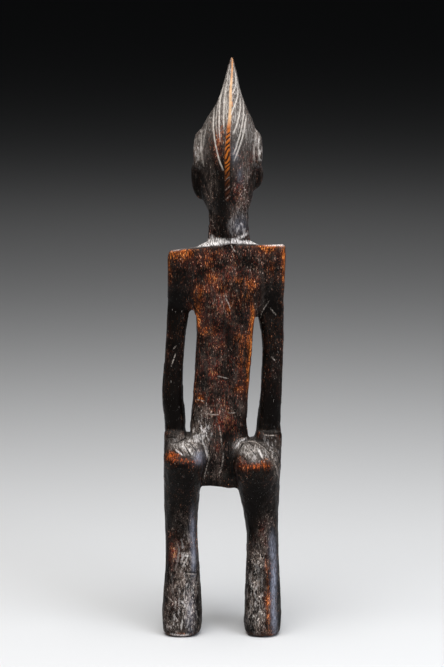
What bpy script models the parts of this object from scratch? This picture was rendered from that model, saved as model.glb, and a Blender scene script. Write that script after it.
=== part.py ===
"""A standing figure carved from one block of dense dark wood.

The figure stands upright on two soles and faces -Y.  +X is its left side and +Z is up.
One solid holds the whole carving: a crested head, a plank-like trunk, arms that hang
free of it, hands on the thighs, shelf-like buttocks and short bent legs.
"""

import math
from collections import namedtuple

import bmesh
import bpy
from mathutils import Matrix, Vector

# Height from the soles to the tip of the crest, in metres
HEIGHT = 0.500

# The carving is laid out in parts of its own height, so that one part is 1 mm here
PARTS_TALL = 500.0
PART = HEIGHT / PARTS_TALL

# Colour and finish of the worn, oiled wood
WOOD_COLOR = (0.055, 0.030, 0.020, 1.0)
WOOD_ROUGHNESS = 0.38

# Smoothing of the carved forms, and about how many triangles the solid is thinned to
SMOOTHING = 1
TRIANGLE_LIMIT = 7800

# Fineness at which the forms are merged into one body, in parts
GRAIN = 0.8

# How much is planed off the soles, and the distance within which points are one, in parts
SOLE_CUT = 0.4
MERGE = 0.05

# Edges bent more than this are shaded as sharp, in degrees
SHARP_ANGLE = 40

# One level of a limb: its height, its two side edges, its front, its back and, where it
# isn't halfway, the depth at which it is widest
Ring = namedtuple("Ring", "z right left front back widest", defaults=(None,))

# Roundness of a section: 1 is a diamond, 2 an oval, and more is nearer to a box
DIAMOND = 1.25
SOFT_DIAMOND = 1.6
OVAL = 2.0
ROUND_BOX = 2.5
SOFT_BOX = 3.0
BOX = 7.0


def rings(*levels):
    """Levels given as plain tuples, in the order of Ring."""
    return [Ring(*level) for level in levels]


def signed_power(value, power):
    return math.copysign(abs(value) ** power, value)


def swell(sides, shape):
    """How much wider a round cage is than the form that its subdivision gives."""
    roundness = min(1.0, OVAL / shape) ** 2
    return 1 + (3 / (2 + math.cos(2 * math.pi / sides)) - 1) * roundness


def section(ring, sides, front_shape, back_shape):
    """Points of one level, counted from the middle of the back round the left side."""
    middle_x = (ring.right + ring.left) / 2
    half_width = (ring.left - ring.right) / 2
    middle_y = (ring.front + ring.back) / 2 if ring.widest is None else ring.widest
    points = []
    for index in range(sides):
        angle = 2 * math.pi * index / sides
        facing_back = math.cos(angle) >= 0
        shape = back_shape if facing_back else front_shape
        depth = ring.back - middle_y if facing_back else middle_y - ring.front
        across = half_width * signed_power(math.sin(angle), 2 / shape) * swell(sides, shape)
        along = depth * signed_power(math.cos(angle), 2 / shape) * swell(sides, shape)
        points.append(Vector((middle_x + across, middle_y + along, ring.z)))
    return points


def limb(name, levels, sides=12, front=OVAL, back=OVAL, ridge=0.0, brink=0.0, warp=None):
    """A soft form: a coarse cage pulled up from level to level, then subdivided.

    ridge sharpens the edge up the middle of the back, and brink the edges of both ends.
    warp says how much a point of the cage is raised, from its place in parts.
    """
    cage = bmesh.new()
    crease = cage.edges.layers.float.new("crease_edge")
    bmesh.ops.create_circle(cage, cap_ends=True, segments=sides, radius=1.0)
    face = cage.faces[:][0]
    loop = list(face.verts)
    for vert, point in zip(loop, section(levels[0], sides, front, back)):
        vert.co = point * PART
    for edge in face.edges:
        edge[crease] = brink
    for level in levels[1:]:
        grown = bmesh.ops.extrude_face_region(cage, geom=[face])
        if level is not levels[1]:
            bmesh.ops.delete(cage, geom=[face], context="FACES_ONLY")
        face = [item for item in grown["geom"] if isinstance(item, bmesh.types.BMFace)][0]
        loop = follow_loop(face, loop)
        for vert, point in zip(loop, section(level, sides, front, back)):
            vert.co = point * PART
    for edge in face.edges:
        edge[crease] = brink
    sharpen_ridge(cage, crease, levels, sides, front, back, ridge)
    if warp:
        for vert in cage.verts:
            vert.co.z += warp(vert.co / PART) * PART
    bmesh.ops.recalc_face_normals(cage, faces=cage.faces)
    return subdivided(name, cage)


def follow_loop(face, previous):
    """The corners of a pulled-up face, in the order of the corners they came from."""
    corners = list(face.verts)
    follower = {}
    for corner in corners:
        for edge in corner.link_edges:
            other = edge.other_vert(corner)
            if other in previous:
                follower[other] = corner
    return [follower[vert] for vert in previous]


def sharpen_ridge(cage, crease, levels, sides, front, back, ridge):
    """Crease the upright edges that join the middles of the back."""
    if not ridge:
        return
    middles = {tuple(round(v, 7) for v in section(level, sides, front, back)[0] * PART)
               for level in levels}
    for edge in cage.edges:
        if all(tuple(round(v, 7) for v in vert.co) in middles for vert in edge.verts):
            edge[crease] = ridge


def subdivided(name, cage):
    """A new object from a finished cage, with its Subdivision Surface."""
    mesh = bpy.data.meshes.new(name)
    cage.to_mesh(mesh)
    cage.free()
    form = bpy.data.objects.new(name, mesh)
    bpy.context.scene.collection.objects.link(form)
    smooth = form.modifiers.new("smooth", "SUBSURF")
    smooth.levels = SMOOTHING
    smooth.render_levels = SMOOTHING
    return form


def knob(name, centre, radii, tilt=0.0, segments=12, rows=8):
    """An egg-shaped form, tipped about the X axis by tilt degrees."""
    body = bmesh.new()
    bmesh.ops.create_uvsphere(body, u_segments=segments, v_segments=rows, radius=1.0)
    place = Matrix.Translation(Vector(centre) * PART)
    turn = Matrix.Rotation(math.radians(tilt), 4, "X")
    size = Matrix.Diagonal(Vector(radii) * PART).to_4x4()
    bmesh.ops.transform(body, matrix=place @ turn @ size, verts=body.verts)
    return plain(name, body)


def cone(name, base, tip, base_radius, tip_radius, segments=16):
    """A blunt cone from one point to another."""
    start = Vector(base) * PART
    reach = Vector(tip) * PART - start
    body = bmesh.new()
    bmesh.ops.create_cone(body, cap_ends=True, segments=segments, radius1=base_radius * PART,
                          radius2=tip_radius * PART, depth=reach.length)
    turn = Vector((0, 0, 1)).rotation_difference(reach).to_matrix().to_4x4()
    place = Matrix.Translation(start + reach / 2)
    bmesh.ops.transform(body, matrix=place @ turn, verts=body.verts)
    return plain(name, body)


def plain(name, body):
    """A new object from a finished body."""
    mesh = bpy.data.meshes.new(name)
    body.to_mesh(mesh)
    body.free()
    form = bpy.data.objects.new(name, mesh)
    bpy.context.scene.collection.objects.link(form)
    return form


# Slopes of the shoulders and of the crotch, as rise or fall per part sideways or forward
LEFT_SHOULDER_FALL = 0.11
SHOULDER_FALL_FORWARD = 0.12
CROTCH_RISE = 0.07

# Depth of the flat back, and the height below which the crotch slopes
BACK_Y = 20
CROTCH_TOP = 150


def crotch_rise(place):
    """The crotch is a little higher on the left side."""
    return CROTCH_RISE * place.x if place.z < CROTCH_TOP else 0


def trunk():
    """Chest, belly and pelvis: a plank with a flat back and a rounded front."""
    return limb("trunk", rings(
        (131.5, -24, 26, -15, 8),
        (142, -24, 27, -20, 11),
        (166, -23, 29, -22, 14),
        (187, -20.6, 28.4, -20, 14),
        (205, -21.2, 26.4, -21, 14.5),
        (235, -23.8, 24.4, -20, 15.5),
        (268, -25.8, 22.6, -15, 18),
        (280, -27, 23, -15, 18.8),
        (290, -31, 25.4, -15, 19.4),
        (303, -38, 30.6, -16, BACK_Y),
        (316, -40, 31.6, -17, BACK_Y),
        (341, -31, 27, -14, BACK_Y)), sides=16, front=OVAL, back=BOX, brink=0.7,
        warp=crotch_rise)


def shoulder_fall(place):
    """The shoulders drop towards the left side and towards the front."""
    return -LEFT_SHOULDER_FALL * max(0, place.x) - SHOULDER_FALL_FORWARD * (BACK_Y - place.y)


def shoulders():
    """The square yoke across the top of the trunk, flat behind, and the slope to the neck."""
    yoke = limb("yoke", rings(
        (292, -51.4, 47.2, -8, 5),
        (304, -52.2, 47.4, -11, 11.5),
        (317, -52.9, 47.4, -12, 19.6),
        (328, -53.4, 47.2, -12.5, BACK_Y),
        (345.5, -53.6, 47, -11, BACK_Y)), sides=16, front=SOFT_BOX, back=BOX, brink=0.95,
        warp=shoulder_fall)
    slope = limb("slope", rings(
        (330, -42, 34, -11, 19),
        (341.5, -34, 23.5, -9, 19.5),
        (347, -25, 14.5, -7, 17)), front=OVAL, back=SOFT_BOX)
    return [yoke, slope]


def arms():
    """Arms that hang a little in front of the plane of the back, bent at the elbow."""
    left = limb("arm_left", rings(
        (177, 32.8, 50.6, -24, 8),
        (187, 32, 50, -21, 8),
        (198, 32.2, 51.2, -18, 9),
        (210, 34.4, 53.2, -14, 10.5),
        (235, 34.4, 50.6, -11, 10),
        (268, 31.6, 48, -11, 8),
        (284, 28.6, 47.6, -11, 7),
        (296, 24, 47.2, -10, 8),
        (312, 22, 46, -10, 9)), front=SOFT_BOX, back=SOFT_BOX)
    right = limb("arm_right", rings(
        (177, -50.3, -28.6, -24, 8),
        (187, -50.2, -29, -21, 8),
        (198, -50.4, -30.6, -18, 9),
        (210, -50.8, -32.2, -14, 10.5),
        (235, -51.6, -33, -11, 10),
        (258, -52.3, -34.4, -11, 8),
        (276, -52.4, -31.4, -11, 7),
        (292, -52, -26, -11, 8),
        (312, -51, -24, -10, 9)), front=SOFT_BOX, back=SOFT_BOX)
    return [left, right]


def hands():
    """Flat blocks that rest on the outer thighs, thicker than the wrists."""
    left = limb("hand_left", rings(
        (148, 38, 50, -20, 5),
        (154, 35, 50.8, -25, 10),
        (166, 32, 51, -29, 14),
        (176, 31.6, 50.6, -28, 13),
        (181.5, 32, 50.4, -26, 10.5)), front=SOFT_BOX, back=BOX, brink=0.7)
    right = limb("hand_right", rings(
        (137, -49.2, -38, -20, 5),
        (145, -49.8, -33, -25, 10),
        (164, -50.6, -28, -29, 15),
        (176, -50.8, -28, -28, 13.5),
        (181.5, -50.6, -28.4, -26, 11)), front=SOFT_BOX, back=BOX, brink=0.7)
    return [left, right]


def legs():
    """Buttock, thigh, calf and heel in one sweep on each side."""
    left = limb("leg_left", rings(
        (0, 21, 51, -14, 17),
        (3, 18.6, 53, -15, 20),
        (17, 18, 53.2, -15, 20.5),
        (40, 18.6, 52.2, -14, 17.5),
        (62, 20.8, 49.8, -17, 15.5),
        (78, 21.8, 50.2, -23, 11.5),
        (92, 22, 50.6, -29, 8),
        (106, 21.6, 51, -30, 10.5),
        (122, 20.6, 51.2, -26, 18),
        (142, 17.6, 51.4, -21, 31),
        (157, 15.8, 51.4, -20, 40.5),
        (162, 16, 51, -20, 40),
        (169, 18, 49.6, -19, 30),
        (176, 22, 45, -15, 15)), back=ROUND_BOX)
    right = limb("leg_right", rings(
        (0, -48.6, -20.4, -14, 17),
        (3, -50.6, -18.8, -15, 20),
        (17, -51.2, -18.4, -15, 20.5),
        (40, -50.4, -19, -14, 17.5),
        (62, -49.3, -19.8, -17, 15.5),
        (78, -48.6, -20.6, -23, 11.5),
        (92, -48.4, -20.4, -29, 8),
        (106, -48.4, -18, -30, 10.5),
        (122, -48.8, -14.4, -26, 18),
        (140, -49.4, -11, -21, 31),
        (152, -49.8, -9.6, -20, 40.5),
        (158, -49.8, -9.8, -20, 40),
        (167, -48.8, -12.5, -19, 29),
        (175, -44, -17, -15, 15)), back=ROUND_BOX)
    return [left, right]


def feet():
    """Short wedges that reach forward from the heels."""
    left = limb("foot_left", rings(
        (0, 20, 52, -45, 6),
        (3, 18.6, 53.4, -46.5, 6),
        (9, 19, 53, -44, 5),
        (14, 21, 51, -30, 3),
        (22, 24, 48.5, -15, 0)), front=SOFT_BOX, back=OVAL, brink=0.9)
    right = limb("foot_right", rings(
        (0, -49, -20, -45, 6),
        (3, -50.4, -18.6, -46.5, 6),
        (9, -50, -19, -44, 5),
        (14, -48, -21, -30, 3),
        (22, -45.5, -24, -15, 0)), front=SOFT_BOX, back=OVAL, brink=0.9)
    return [left, right]


def neck():
    """A four-sided neck with a ridge up the back."""
    return limb("neck", rings(
        (334, -26, 15, -13, 21),
        (345, -24.2, 14, -12, 20.5),
        (353, -22.4, 12.6, -11, 19.5),
        (371, -22, 12.2, -11, 20),
        (388, -22, 13, -11, 21)), front=SOFT_DIAMOND, back=DIAMOND, ridge=0.9)


def head():
    """The skull: rounded in front, and drawn out behind to the foot of the keel."""
    return limb("head", rings(
        (364, -20, 10.4, -10, 17.6, 1),
        (371, -21.8, 12.2, -14, 20.4, 0),
        (379, -24.4, 16.6, -23, 24, -1),
        (388, -26.8, 20.4, -27, 28, -2),
        (402, -27.2, 20.4, -28, 32.4, -2),
        (418, -27.2, 19.4, -28, 34.6, -2),
        (434, -27.2, 18.8, -28, 33, -2),
        (445, -27.8, 17.6, -25.5, 30, -1),
        (451, -22, 12, -18, 24, -1)), sides=16, front=OVAL, back=SOFT_DIAMOND, ridge=0.9)


def crest():
    """The tall pointed crest that the head runs up into, with a sharp edge front and back."""
    return limb("crest", rings(
        (426, -24, 16, -24, 33, -2),
        (434, -26, 17.6, -26.5, 33, -2),
        (445, -28.2, 18, -27.5, 30, -1),
        (454.5, -21.6, 10.2, -26, 25, -1),
        (464, -18.2, 4.6, -22.5, 19.5, -1),
        (473.6, -14.4, 1.2, -18, 13.5, -2),
        (483, -13.4, -1.6, -14, 7, -3),
        (492.8, -11.6, -3, -9.5, 0.5, -4),
        (498, -9.8, -5.2, -6.4, -2.8, -4.5),
        (501.2, -8, -7, -4.9, -4.2, -4.5)), sides=16, front=SOFT_DIAMOND,
        back=SOFT_DIAMOND, ridge=0.9)


def side_locks():
    """A bunched lock of hair above and a rounded lobe below it, at each side of the head."""
    left_lock = limb("lock_left", rings(
        (407, 17, 24.2, -6, 7),
        (412, 15, 25.2, -8, 10),
        (428, 14, 25.3, -8, 10),
        (437, 13, 24, -7, 8),
        (442, 12, 18, -5, 5)), sides=8, front=SOFT_BOX, back=SOFT_BOX)
    left_lobe = limb("lobe_left", rings(
        (379, 12, 19, -10, -1),
        (385, 13, 25.6, -13, 1),
        (397, 14, 27.4, -14, 2),
        (407, 14, 27.3, -14, 2),
        (415, 14, 24.6, -12, 1)), sides=8, front=SOFT_BOX, back=SOFT_BOX)
    right_lock = limb("lock_right", rings(
        (407, -32.6, -22, -6, 7),
        (412, -34, -20, -8, 10),
        (428, -34.1, -20, -8, 10),
        (437, -32.6, -20, -7, 8),
        (442, -26.5, -19, -5, 5)), sides=8, front=SOFT_BOX, back=SOFT_BOX)
    right_lobe = limb("lobe_right", rings(
        (386.5, -27, -18, -10, -1),
        (392, -33.2, -18, -13, 1),
        (399, -35, -19, -14, 2),
        (407, -34.8, -19, -14, 2),
        (415, -31, -19, -12, 1)), sides=8, front=SOFT_BOX, back=SOFT_BOX)
    return [left_lock, left_lobe, right_lock, right_lobe]


# Middle line of the face, and the height of its features
FACE_X = -3.8
BROW_Z = 434
EYE_Z = 424.5
EYE_APART = 9.8
NOSE_Z = 401
MOUTH_Z = 389.5
CHIN_Z = 380.5


def cheek_hollows():
    """Scoops beside the nose, which leave the brow standing above flat cheeks."""
    return [knob("hollow", (FACE_X + side * 11, -33.5, EYE_Z - 9), (10, 10, 17), tilt=-5,
                 segments=16, rows=10) for side in (-1, 1)]


def face():
    """A calm mask: one brow, a long straight nose, narrow eyes and a small mouth."""
    nose = limb("nose", rings(
        (NOSE_Z - 2.5, FACE_X - 4.6, FACE_X + 4.6, -33, -12),
        (NOSE_Z + 1, FACE_X - 5.8, FACE_X + 5.8, -40, -12),
        (NOSE_Z + 8, FACE_X - 4.4, FACE_X + 4.4, -38.5, -12),
        (BROW_Z - 8, FACE_X - 3, FACE_X + 3, -32.5, -12),
        (BROW_Z + 4, FACE_X - 3.2, FACE_X + 3.2, -29.5, -12)), sides=8, front=OVAL, back=SOFT_BOX)
    brows = [knob("brow", (FACE_X + side * 7.8, -21, BROW_Z), (8.6, 8.4, 2.6))
             for side in (-1, 1)]
    chin = knob("chin", (FACE_X, -20, CHIN_Z), (11.5, 9, 6.5))
    lips = [knob("lip", (FACE_X, -24.5, MOUTH_Z + side * 2.2), (7.5, 6.5, 2.4))
            for side in (-1, 1)]
    eyes = [knob("eye", (FACE_X + side * EYE_APART, -21.2, EYE_Z), (6, 4.6, 3.1))
            for side in (-1, 1)]
    return [nose, chin] + brows + lips + eyes


def front_details():
    """Low breasts and a navel on the front of the trunk."""
    breasts = [cone("breast", (-2 + side * 15, -8, 304), (-2 + side * 17, -35, 295), 13, 3)
               for side in (-1, 1)]
    navel = cone("navel", (1, -15, 227), (1, -26, 226), 6, 2.4, segments=12)
    return breasts + [navel]


def evaluated_copy(form, name):
    """A plain object with the mesh that the modifiers of form give."""
    view = bpy.context.evaluated_depsgraph_get()
    mesh = bpy.data.meshes.new_from_object(form.evaluated_get(view))
    copy = bpy.data.objects.new(name, mesh)
    bpy.context.scene.collection.objects.link(copy)
    return copy


def carved(body, cutters):
    """The body with the cutters' forms taken out of it."""
    for cutter in cutters:
        cut = body.modifiers.new("cut", "BOOLEAN")
        cut.operation = "DIFFERENCE"
        cut.solver = "EXACT"
        cut.object = cutter
    result = evaluated_copy(body, body.name)
    for used in [body] + cutters:
        bpy.data.objects.remove(used)
    return result


def fused(forms):
    """One body in plain triangles from forms that run into each other."""
    together = bmesh.new()
    view = bpy.context.evaluated_depsgraph_get()
    for form in forms:
        together.from_mesh(form.evaluated_get(view).to_mesh())
    for form in forms:
        bpy.data.objects.remove(form)
    whole = plain("whole", together)
    merge = whole.modifiers.new("merge", "REMESH")
    merge.mode = "VOXEL"
    merge.voxel_size = GRAIN * PART
    merged = evaluated_copy(whole, "merged")
    bpy.data.objects.remove(whole)
    thin = merged.modifiers.new("thin", "DECIMATE")
    thin.ratio = TRIANGLE_LIMIT / (2 * len(merged.data.polygons))
    light = evaluated_copy(merged, "light")
    bpy.data.objects.remove(merged)
    return light


def level_soles(body):
    """Plane both soles flat, so that the figure stands on them."""
    mesh = bmesh.new()
    mesh.from_mesh(body.data)
    everything = mesh.verts[:] + mesh.edges[:] + mesh.faces[:]
    bmesh.ops.bisect_plane(mesh, geom=everything, plane_co=(0, 0, SOLE_CUT * PART),
                           plane_no=(0, 0, 1), clear_inner=True)
    rims = [edge for edge in mesh.edges if edge.is_boundary]
    bmesh.ops.edgeloop_fill(mesh, edges=rims)
    bmesh.ops.remove_doubles(mesh, verts=mesh.verts, dist=MERGE * PART)
    bmesh.ops.triangulate(mesh, faces=mesh.faces)
    bmesh.ops.recalc_face_normals(mesh, faces=mesh.faces)
    mesh.to_mesh(body.data)
    mesh.free()


def stand_on_origin(body):
    """Move the mesh so that the middle of its footprint is the origin."""
    places = [vert.co for vert in body.data.vertices]
    low = Vector(min(place[axis] for place in places) for axis in range(3))
    high = Vector(max(place[axis] for place in places) for axis in range(3))
    middle = (low + high) / 2
    body.data.transform(Matrix.Translation((-middle.x, -middle.y, -low.z)))


def worn_wood():
    """The material of the whole carving."""
    material = bpy.data.materials.new("worn_wood")
    material.use_nodes = True
    shader = material.node_tree.nodes["Principled BSDF"]
    shader.inputs["Base Color"].default_value = WOOD_COLOR
    shader.inputs["Roughness"].default_value = WOOD_ROUGHNESS
    shader.inputs["Metallic"].default_value = 0.0
    return material


def build():
    for old in list(bpy.data.objects):
        bpy.data.objects.remove(old)
    forms = [trunk(), neck(), crest(), carved(head(), cheek_hollows())]
    for group in (shoulders, arms, hands, legs, feet, side_locks, face, front_details):
        forms += group()
    figure = fused(forms)
    level_soles(figure)
    stand_on_origin(figure)
    figure.name = "figure"
    figure.data.materials.clear()
    figure.data.materials.append(worn_wood())
    figure.data.shade_smooth()
    figure.data.set_sharp_from_angle(angle=math.radians(SHARP_ANGLE))
    home = bpy.data.collections.new("bambara_figure")
    bpy.context.scene.collection.children.link(home)
    bpy.context.scene.collection.objects.unlink(figure)
    home.objects.link(figure)


build()
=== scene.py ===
"""Looks of a carved standing figure: knife-cut dark wood with a worn, dusty patina.

One piece, carved_figure, stands for the whole carving.  It starts from the frame's solid,
takes the cuts of the knife, and carries masks that its one material reads.  The side that
the photograph shows is placed in the photograph's own pixels, painted highlights, painted
shade and a painted bluish reflection among its spots; the rest follows from the form
itself: a painted highlight where it looks up, orange on its edges and painted shade in
its hollows.
"""

import math
import random

import bmesh
import bpy
import numpy as np
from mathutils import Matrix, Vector, noise
from mathutils.bvhtree import BVHTree
from mathutils.kdtree import KDTree


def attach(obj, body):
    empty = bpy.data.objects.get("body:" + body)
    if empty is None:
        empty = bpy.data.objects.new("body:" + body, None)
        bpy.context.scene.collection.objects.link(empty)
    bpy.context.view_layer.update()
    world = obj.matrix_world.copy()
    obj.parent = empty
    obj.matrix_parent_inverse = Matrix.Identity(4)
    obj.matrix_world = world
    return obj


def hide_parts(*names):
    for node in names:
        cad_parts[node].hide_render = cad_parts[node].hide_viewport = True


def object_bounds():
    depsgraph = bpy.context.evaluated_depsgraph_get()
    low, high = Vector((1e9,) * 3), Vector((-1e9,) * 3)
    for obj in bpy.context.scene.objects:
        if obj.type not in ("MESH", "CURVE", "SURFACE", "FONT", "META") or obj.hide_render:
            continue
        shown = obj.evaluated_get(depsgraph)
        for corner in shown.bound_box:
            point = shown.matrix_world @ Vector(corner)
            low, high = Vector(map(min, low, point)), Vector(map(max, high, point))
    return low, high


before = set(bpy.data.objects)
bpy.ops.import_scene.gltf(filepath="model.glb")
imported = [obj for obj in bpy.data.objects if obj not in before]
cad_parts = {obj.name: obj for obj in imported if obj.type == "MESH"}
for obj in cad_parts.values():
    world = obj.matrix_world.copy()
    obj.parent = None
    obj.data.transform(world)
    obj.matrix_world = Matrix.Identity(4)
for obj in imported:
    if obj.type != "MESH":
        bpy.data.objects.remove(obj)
cad_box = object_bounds()

MM = 0.001
SEED = 7

# Height of the photograph in pixels
PHOTO_HEIGHT = 667

# The camera: behind the figure, a little above it and far off, in metres and radians
CAMERA_ELEVATION = math.radians(10.5)
CAMERA_DISTANCE = 1.95
CAMERA_SIDE = 0.7 * MM
AIM_HEIGHT = 0.250

# Its focal length in pixels, and the pixel that the point at AIM_HEIGHT falls on
FOCAL_PIXELS = 2271.4
AIM_PIXEL_X = 222.0
AIM_PIXEL_Y = 350.4

# Spacing of the piece's mesh before its finer parts are split
GRAIN = 1.9 * MM

# Smoothing of that mesh, by turns inward and outward. SHARP_TURN is measured as one less the
# cosine, and points at sharper turns are held back by SHARP_HOLD
SMOOTHING = (0.6, -0.3) * 3
SHARP_TURN = (0.12, 0.45)
SHARP_HOLD = 0.8

# How close in pixels to the lines of the crest, and to the other cuts, the mesh is split, and
# how squarely its points must face the photograph's side
CREST_REACH = 1.5
STROKE_REACHES = (1.6, 0.8)
SEEN_LEAST = 0.05

# Facets of the adze: their spacing, their length over their width, how much finer than that the
# cells are that start one facet each, how far facets move the surface, and how much less they
# do so on the head
FACET_SPACING = 9 * MM
FACET_STRETCH = 1.9
FACET_CROWDING = 1.15
FACET_MOVES = (-0.45 * MM, 0.4 * MM)
HEAD_CALM = 0.6

# Slow waves of the surface
WAVE_LENGTH = 14 * MM
WAVE_HEIGHT = 0.3 * MM

# Heights above the floor of the foot of the head, the foot of the crest and the eyes
HEAD_FOOT = 0.366
CREST_FOOT = 0.440
EYE_HEIGHT = 0.4242

# Height at which the tip of the crest begins to be drawn out to its point, how much narrower
# the point gets and how far it rises
TIP_FOOT = 0.482
TIP_PINCH = 0.3
TIP_RISE = 0.8 * MM

# Heights over which the cuts fade out at the floor, the depth of the flat sole, and how far the
# mesh stays inside the solid's box
FOOT_CALM = (0.5 * MM, 3 * MM)
SOLE_DEPTH = 0.4 * MM
BOX_MARGIN = 0.02 * MM

# Middle line of the face, how far each eye lies from it, and the size of its slit
FACE_X = -3.5 * MM
EYE_APART = 9.8 * MM
EYE_HALF_WIDTH = 5.2 * MM
EYE_HALF_HEIGHT = 0.8 * MM
EYE_DEPTH = 1.2 * MM

# Hatching of the side locks: its wave, depth, distance from the middle line and heights
HATCH_WAVE = 0.42 * MM
HATCH_DEPTH = 0.3 * MM
HATCH_SIDES = (20 * MM, 23 * MM)
HATCH_HEIGHTS = (0.404, 0.410)

# Grooves on the front of the crest: how far apart, how deep, and where they end at the top
FRONT_PITCH = 3.4 * MM
FRONT_DEPTH = 0.5 * MM
FRONT_ENDS = (0.485, 0.492)

# Grooves of the crest, in the photograph's pixels, each from its upper end down
CREST_GROOVES = [
    [(214.3, 107), (213.2, 118), (213.2, 128), (214.5, 140), (216.8, 151), (219.7, 161.5), (223, 170)],
    [(223.9, 84), (220.8, 95), (219.5, 105), (219, 117), (219.2, 130), (219.8, 141)],
    [(226.3, 82), (224.8, 94), (223.9, 105), (223.4, 117), (223.9, 129)],
    [(236, 73), (236.4, 82), (235, 88), (232.2, 93.5)],
    [(237.6, 82), (238.2, 92), (236.6, 99.5), (233.9, 107), (231.3, 114)],
    [(240.3, 95), (240.6, 106), (238.7, 117), (236, 127), (232.9, 134)],
    [(242.9, 98), (243.9, 109), (242.7, 121.5), (239.7, 136), (236.6, 147), (233.4, 154.5)],
    [(246.6, 114), (245.5, 122), (243.4, 134), (239.7, 147), (234.5, 160.5)],
]

# Fainter grooves of the crest, and those of the side locks
FAINT_GROOVES = [
    [(226.5, 68), (223.5, 82), (219.5, 98), (216.5, 112), (216.2, 126), (217.5, 138)],
    [(228.8, 66), (227, 80), (226.2, 95), (226.2, 110), (226.6, 122)],
    [(234.5, 66), (236.4, 76), (239.8, 88), (242, 98)],
]
LOCK_GROOVES = [
    [(206, 127), (204.5, 134), (203.4, 142), (202.4, 150)],
    [(202, 130), (201.2, 138), (201, 148), (202, 158), (203.5, 166)],
    [(256.5, 134), (254.8, 142), (254, 152), (254.6, 162)],
    [(260, 136), (258.6, 144), (259, 154), (259.6, 161)],
]

# The keel of the crest: its line, its half widths by row, its depth, the rows over which it
# fades, and those over which its painted highlight begins and ends and its painted shade begins
KEEL = [(232.8, 57), (232.4, 69), (231.3, 82), (230.5, 92), (230.4, 105), (229.8, 117), (228.4, 130),
        (227.6, 145), (227.3, 160), (227.4, 176), (227.6, 199)]
KEEL_ROWS = [57, 80, 120, 150, 200]
KEEL_HALF_WIDTHS = [1.0, 1.3, 1.7, 2.7, 2.4]
KEEL_DEPTH = 0.2 * MM
KEEL_FADE = 0.72
KEEL_FADE_ROWS = (163, 176)
KEEL_HIGHLIGHT_START = (74, 84)
KEEL_HIGHLIGHT_END = (116, 130)
KEEL_SHADE_ROWS = (172, 190)

# Notches across the keel: how far apart in pixels, their slant, their depth, and the rows over
# which they begin and end
NOTCH_PITCH = 5.6
NOTCH_SLANT = 1.1
NOTCH_DEPTH = 0.7 * MM
NOTCH_START = (124, 136)
NOTCH_END = (198, 202)

# Knife strokes and scratches that show pale, in pixels
STROKES = [
    [(175, 448.5), (179.5, 452.5)],
    [(180.5, 445.5), (186.5, 452)],
    [(184.5, 443.5), (191, 452.5)],
    [(190, 440.5), (196, 446), (200, 452)],
    [(196.5, 438), (203.5, 446), (208.3, 458)],
    [(202, 434), (206.5, 444), (208.8, 458), (206, 470), (203.8, 481)],
    [(218.8, 424), (220.4, 433), (222.2, 446)],
    [(223.6, 452), (222.4, 464), (219, 476)],
    [(234.5, 445), (239, 439.5), (246, 437.5)],
    [(236.5, 450), (242, 443), (252, 441), (262, 446), (271.5, 456), (277, 470), (278.4, 478)],
    [(258.8, 449.5), (262.4, 457.5), (264.6, 463)],
    [(243, 458), (249, 452), (256, 450)],
    [(264, 434.6), (270, 435.4), (275, 435.2)],
    [(230.8, 243), (232.6, 248.5), (236, 252.2)],
    [(225.4, 180.4), (230, 176.6)],
    [(225.4, 190.2), (230.2, 186.4)],
    [(226, 199.6), (230.6, 195.6)],
    [(218, 376.2), (223, 377.4), (228, 378.6)],
    [(196, 399.4), (200, 400.2), (205, 401.4)],
    [(203, 413), (212, 414.4), (221, 414.8)],
    [(229, 412.8), (236, 412.8)],
    [(224.5, 296), (228.4, 303), (230.4, 309)],
    [(173, 349), (176.2, 346)],
    [(171.4, 366), (175.4, 354)],
    [(271.5, 357), (275, 360.4)],
    [(269, 301), (262, 312), (260.5, 318)],
    [(270.5, 308), (276, 315)],
    [(183.5, 552.5), (189, 553.2)],
    [(180.6, 561), (185.6, 562.8)],
    [(180.8, 604), (184.6, 608)],
    [(186, 573.4), (196.5, 574.2)],
    [(167, 596), (173, 602)],
]

# Dark slits between knife facets, in pixels
SLITS = [
    [(171.5, 449), (178.6, 453.8)],
    [(178.4, 447.2), (184, 456)],
    [(184.8, 445.2), (191, 456)],
    [(189.8, 442.6), (197, 452)],
    [(199.5, 440), (204.5, 449)],
    [(172, 443), (180, 440.6), (188, 437)],
    [(238, 451), (243, 443.5), (249, 440.5)],
    [(248, 441.5), (254, 446.5)],
    [(258, 443), (264, 446.5), (270, 452)],
    [(241, 455), (247, 461)],
    [(250, 448), (256, 455.5)],
    [(262, 432.4), (273, 433.6), (284, 432.8)],
    [(166, 437.6), (176, 437.2)],
    [(211, 440), (208.4, 452), (208.6, 466)],
    [(225.4, 425), (226.2, 440), (224, 455)],
    [(183.4, 571.8), (196.8, 572.4)],
    [(230.4, 165), (231.6, 200)],
]

# Kinds of cut: their lines, half width in pixels and depth
CUTS = {
    "groove": (CREST_GROOVES, 1.0, 0.7 * MM),
    "faint": (FAINT_GROOVES + LOCK_GROOVES, 0.9, 0.35 * MM),
    "stroke": (STROKES, 0.75, 0.3 * MM),
    "slit": (SLITS, 1.0, 0.5 * MM),
}

# The upper and lower bounds of the painted highlight on the shoulders' back edge, the columns over which
# it begins, ends and brightens, and the painted highlight on the neck's rim above it
EDGE_HIGHLIGHT_TOP = [(170, 250.4), (180, 248.2), (190, 246), (198, 243), (205, 240.6), (211, 237.6), (220, 240),
            (229, 241.4), (236, 240.4), (248, 240.6), (262, 242), (285, 243)]
EDGE_HIGHLIGHT_FOOT = [(170, 251.8), (190, 247.8), (205, 246.4), (216, 245.2), (229, 243.4), (240, 243.4),
             (262, 244.9), (285, 246)]
EDGE_HIGHLIGHT_LEFT_END = (164, 178)
EDGE_HIGHLIGHT_RIGHT_END = (279, 291)
EDGE_HIGHLIGHT_BRIGHTENS = (186, 200)
NECK_RIMS = [
    [(210.4, 236.4), (216, 238.8), (222, 240.4), (229, 241.7)],
    [(247.4, 233), (242, 236.4), (236, 239.4), (229.4, 241.7)],
]
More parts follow.
